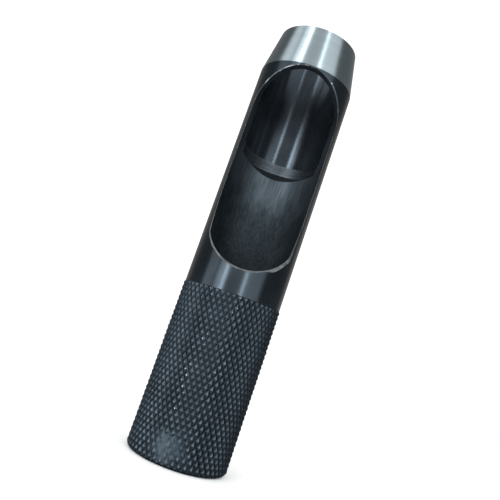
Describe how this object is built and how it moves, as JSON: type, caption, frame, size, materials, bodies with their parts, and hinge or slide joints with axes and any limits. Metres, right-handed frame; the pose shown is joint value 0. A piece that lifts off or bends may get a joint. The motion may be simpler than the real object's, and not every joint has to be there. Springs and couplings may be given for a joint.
{
  "type": "drive hole punch",
  "caption": "Hollow steel punch struck with a mallet to cut round holes in leather, with a knurled grip, a bored barrel, a side window for the cut discs and a ground bevel.",
  "frame": {"origin": "centre of the struck face, where the tool stands", "axes": "+Z along the tool's axis from the struck face to the cutting edge; the window opens towards -Y; X runs across the window"},
  "size_m": [0.025, 0.025, 0.1105],
  "materials": {
    "blackened_knurl": "diamond knurl, black oxide",
    "blackened_steel": "turned, black oxide",
    "ground_steel": "ground bright"
  },
  "bodies": {
    "root": {"knurled_grip": "blackened_knurl", "window_barrel": "blackened_steel", "cutting_nose": "ground_steel"}
  },
  "joints": []
}
